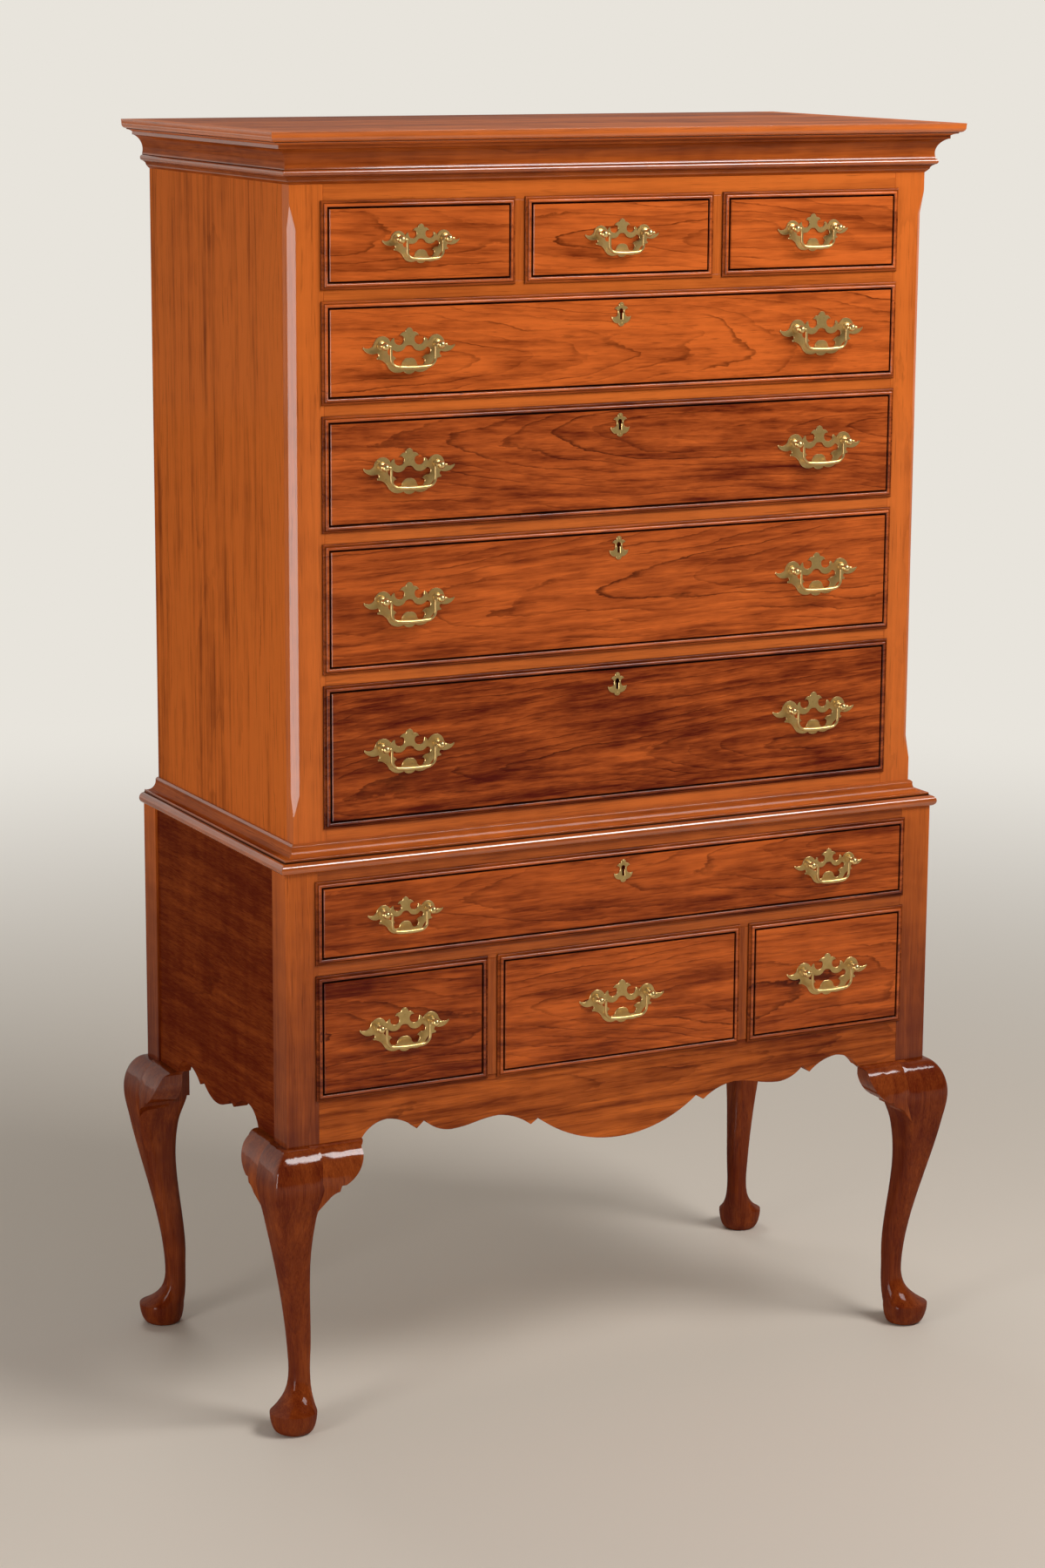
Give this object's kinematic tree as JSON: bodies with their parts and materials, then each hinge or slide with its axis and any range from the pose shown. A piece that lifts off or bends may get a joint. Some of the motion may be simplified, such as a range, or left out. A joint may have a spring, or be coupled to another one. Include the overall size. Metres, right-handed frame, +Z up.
{
  "type": "highboy",
  "caption": "Flat-top highboy: a tall chest of lipped drawers on a lower case with a scalloped apron and cabriole legs on pad feet.",
  "frame": {"origin": "on the floor, under the middle of the case", "axes": "+X to the right as seen from the front, +Y to the back, +Z up; the drawers face -Y"},
  "size_m": [1.0168, 0.5406, 1.6612],
  "materials": {
    "case_wood": "satin oil and wax",
    "drawer_wood": "satin oil and wax",
    "secondary_wood": "planed, unfinished",
    "brass": "aged, lightly polished"
  },
  "bodies": {
    "case": {"top_board": "case_wood", "cornice_cap": "case_wood", "cornice_moulding": "case_wood", "upper_side_left": "case_wood", "upper_side_right": "case_wood", "upper_stiles": "case_wood", "upper_rails": "case_wood", "upper_runners": "secondary_wood", "upper_bottom_board": "secondary_wood", "upper_back_boards": "secondary_wood", "waist_moulding": "case_wood", "leg_front_left": "case_wood", "leg_front_right": "case_wood", "leg_back_left": "case_wood", "leg_back_right": "case_wood", "knee_blocks": "case_wood", "lower_side_left": "case_wood", "lower_side_right": "case_wood", "front_apron": "case_wood", "lower_rails": "case_wood", "lower_runners": "secondary_wood", "lower_back_board": "secondary_wood"},
    "drawer_top_left": {"drawer_top_left": "drawer_wood", "brasses_top_left": "brass"},
    "bail_top_left": {"bail_top_left": "brass"},
    "drawer_top_centre": {"drawer_top_centre": "drawer_wood", "brasses_top_centre": "brass"},
    "bail_top_centre": {"bail_top_centre": "brass"},
    "drawer_top_right": {"drawer_top_right": "drawer_wood", "brasses_top_right": "brass"},
    "bail_top_right": {"bail_top_right": "brass"},
    "drawer_second": {"drawer_second": "drawer_wood", "brasses_second": "brass"},
    "bail_second_left": {"bail_second_left": "brass"},
    "bail_second_right": {"bail_second_right": "brass"},
    "drawer_third": {"drawer_third": "drawer_wood", "brasses_third": "brass"},
    "bail_third_left": {"bail_third_left": "brass"},
    "bail_third_right": {"bail_third_right": "brass"},
    "drawer_fourth": {"drawer_fourth": "drawer_wood", "brasses_fourth": "brass"},
    "bail_fourth_left": {"bail_fourth_left": "brass"},
    "bail_fourth_right": {"bail_fourth_right": "brass"},
    "drawer_fifth": {"drawer_fifth": "drawer_wood", "brasses_fifth": "brass"},
    "bail_fifth_left": {"bail_fifth_left": "brass"},
    "bail_fifth_right": {"bail_fifth_right": "brass"},
    "drawer_lower_long": {"drawer_lower_long": "drawer_wood", "brasses_lower_long": "brass"},
    "bail_lower_long_left": {"bail_lower_long_left": "brass"},
    "bail_lower_long_right": {"bail_lower_long_right": "brass"},
    "drawer_bottom_left": {"drawer_bottom_left": "drawer_wood", "brasses_bottom_left": "brass"},
    "bail_bottom_left": {"bail_bottom_left": "brass"},
    "drawer_bottom_centre": {"drawer_bottom_centre": "drawer_wood", "brasses_bottom_centre": "brass"},
    "bail_bottom_centre": {"bail_bottom_centre": "brass"},
    "drawer_bottom_right": {"drawer_bottom_right": "drawer_wood", "brasses_bottom_right": "brass"},
    "bail_bottom_right": {"bail_bottom_right": "brass"}
  },
  "joints": [
    {"name": "top_left_slide", "type": "slide", "parent": "case", "child": "drawer_top_left", "axis": [0, -1, 0], "range_m": [0, 0.3]},
    {"name": "bail_top_left_hinge", "type": "hinge", "parent": "drawer_top_left", "child": "bail_top_left", "pos_m": [-0.28275, -0.23825, 1.52877], "axis": [-1, 0, 0], "range_deg": [-15, 195]},
    {"name": "top_centre_slide", "type": "slide", "parent": "case", "child": "drawer_top_centre", "axis": [0, -1, 0], "range_m": [0, 0.3]},
    {"name": "bail_top_centre_hinge", "type": "hinge", "parent": "drawer_top_centre", "child": "bail_top_centre", "pos_m": [0, -0.23825, 1.52877], "axis": [-1, 0, 0], "range_deg": [-15, 195]},
    {"name": "top_right_slide", "type": "slide", "parent": "case", "child": "drawer_top_right", "axis": [0, -1, 0], "range_m": [0, 0.3]},
    {"name": "bail_top_right_hinge", "type": "hinge", "parent": "drawer_top_right", "child": "bail_top_right", "pos_m": [0.28275, -0.23825, 1.52877], "axis": [-1, 0, 0], "range_deg": [-15, 195]},
    {"name": "second_slide", "type": "slide", "parent": "case", "child": "drawer_second", "axis": [0, -1, 0], "range_m": [0, 0.3]},
    {"name": "bail_second_left_hinge", "type": "hinge", "parent": "drawer_second", "child": "bail_second_left", "pos_m": [-0.299, -0.23825, 1.39825], "axis": [-1, 0, 0], "range_deg": [-15, 195]},
    {"name": "bail_second_right_hinge", "type": "hinge", "parent": "drawer_second", "child": "bail_second_right", "pos_m": [0.299, -0.23825, 1.39825], "axis": [-1, 0, 0], "range_deg": [-15, 195]},
    {"name": "third_slide", "type": "slide", "parent": "case", "child": "drawer_third", "axis": [0, -1, 0], "range_m": [0, 0.3]},
    {"name": "bail_third_left_hinge", "type": "hinge", "parent": "drawer_third", "child": "bail_third_left", "pos_m": [-0.299, -0.23825, 1.2482], "axis": [-1, 0, 0], "range_deg": [-15, 195]},
    {"name": "bail_third_right_hinge", "type": "hinge", "parent": "drawer_third", "child": "bail_third_right", "pos_m": [0.299, -0.23825, 1.2482], "axis": [-1, 0, 0], "range_deg": [-15, 195]},
    {"name": "fourth_slide", "type": "slide", "parent": "case", "child": "drawer_fourth", "axis": [0, -1, 0], "range_m": [0, 0.3]},
    {"name": "bail_fourth_left_hinge", "type": "hinge", "parent": "drawer_fourth", "child": "bail_fourth_left", "pos_m": [-0.299, -0.23825, 1.0794], "axis": [-1, 0, 0], "range_deg": [-15, 195]},
    {"name": "bail_fourth_right_hinge", "type": "hinge", "parent": "drawer_fourth", "child": "bail_fourth_right", "pos_m": [0.299, -0.23825, 1.0794], "axis": [-1, 0, 0], "range_deg": [-15, 195]},
    {"name": "fifth_slide", "type": "slide", "parent": "case", "child": "drawer_fifth", "axis": [0, -1, 0], "range_m": [0, 0.3]},
    {"name": "bail_fifth_left_hinge", "type": "hinge", "parent": "drawer_fifth", "child": "bail_fifth_left", "pos_m": [-0.299, -0.23825, 0.89145], "axis": [-1, 0, 0], "range_deg": [-15, 195]},
    {"name": "bail_fifth_right_hinge", "type": "hinge", "parent": "drawer_fifth", "child": "bail_fifth_right", "pos_m": [0.299, -0.23825, 0.89145], "axis": [-1, 0, 0], "range_deg": [-15, 195]},
    {"name": "lower_long_slide", "type": "slide", "parent": "case", "child": "drawer_lower_long", "axis": [0, -1, 0], "range_m": [0, 0.3]},
    {"name": "bail_lower_long_left_hinge", "type": "hinge", "parent": "drawer_lower_long", "child": "bail_lower_long_left", "pos_m": [-0.315, -0.26005, 0.68272], "axis": [-1, 0, 0], "range_deg": [-15, 195]},
    {"name": "bail_lower_long_right_hinge", "type": "hinge", "parent": "drawer_lower_long", "child": "bail_lower_long_right", "pos_m": [0.315, -0.26005, 0.68272], "axis": [-1, 0, 0], "range_deg": [-15, 195]},
    {"name": "bottom_left_slide", "type": "slide", "parent": "case", "child": "drawer_bottom_left", "axis": [0, -1, 0], "range_m": [0, 0.3]},
    {"name": "bail_bottom_left_hinge", "type": "hinge", "parent": "drawer_bottom_left", "child": "bail_bottom_left", "pos_m": [-0.3167, -0.26005, 0.5335], "axis": [-1, 0, 0], "range_deg": [-15, 195]},
    {"name": "bottom_centre_slide", "type": "slide", "parent": "case", "child": "drawer_bottom_centre", "axis": [0, -1, 0], "range_m": [0, 0.3]},
    {"name": "bail_bottom_centre_hinge", "type": "hinge", "parent": "drawer_bottom_centre", "child": "bail_bottom_centre", "pos_m": [0, -0.26005, 0.5335], "axis": [-1, 0, 0], "range_deg": [-15, 195]},
    {"name": "bottom_right_slide", "type": "slide", "parent": "case", "child": "drawer_bottom_right", "axis": [0, -1, 0], "range_m": [0, 0.3]},
    {"name": "bail_bottom_right_hinge", "type": "hinge", "parent": "drawer_bottom_right", "child": "bail_bottom_right", "pos_m": [0.3167, -0.26005, 0.5335], "axis": [-1, 0, 0], "range_deg": [-15, 195]}
  ]
}
